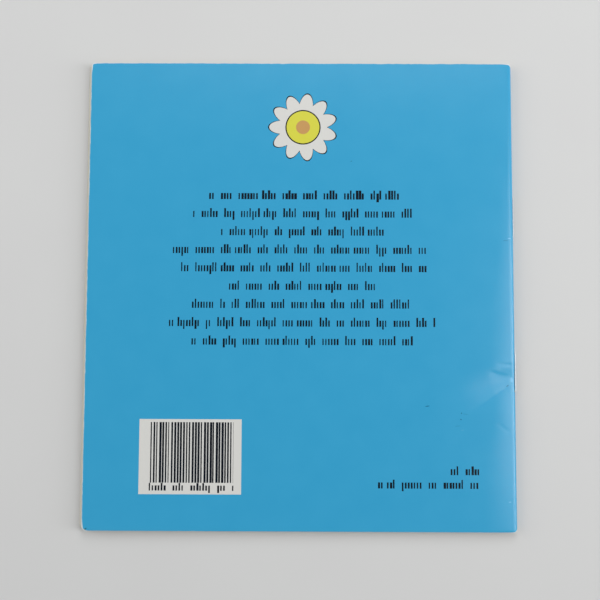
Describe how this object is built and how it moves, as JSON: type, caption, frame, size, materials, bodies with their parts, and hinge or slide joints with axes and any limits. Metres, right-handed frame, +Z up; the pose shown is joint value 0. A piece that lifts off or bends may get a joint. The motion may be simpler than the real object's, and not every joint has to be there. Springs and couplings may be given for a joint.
{
  "type": "paperback picture book",
  "caption": "Thin picture book lying face down: a section of folded sheets, wire-stitched through the fold into a soft card cover whose front and back leaves open.",
  "frame": {"origin": "middle of the bounding box's underside, on the surface that the book lies on", "axes": "+X towards the fold, +Y towards the head, +Z up through the back cover"},
  "size_m": [0.1406, 0.1524, 0.003],
  "materials": {
    "cover_card": "varnished blue print on white card",
    "page_paper": "uncoated cream-white paper",
    "stitching_wire": "drawn galvanised wire"
  },
  "bodies": {
    "front_cover": {"front_cover": "cover_card"},
    "book_block": {"pages": "page_paper", "spine_fold": "cover_card", "head_staple": "stitching_wire", "tail_staple": "stitching_wire"},
    "back_cover": {"back_cover": "cover_card"}
  },
  "joints": [
    {"name": "front_cover_hinge", "type": "hinge", "parent": "front_cover", "child": "book_block", "pos_m": [0.07003, 0, 0.0015], "axis": [0, 1, 0], "range_deg": [0, 180]},
    {"name": "back_cover_hinge", "type": "hinge", "parent": "book_block", "child": "back_cover", "pos_m": [0.06842, 0, 0.003], "axis": [0, 1, 0], "range_deg": [0, 180]}
  ]
}
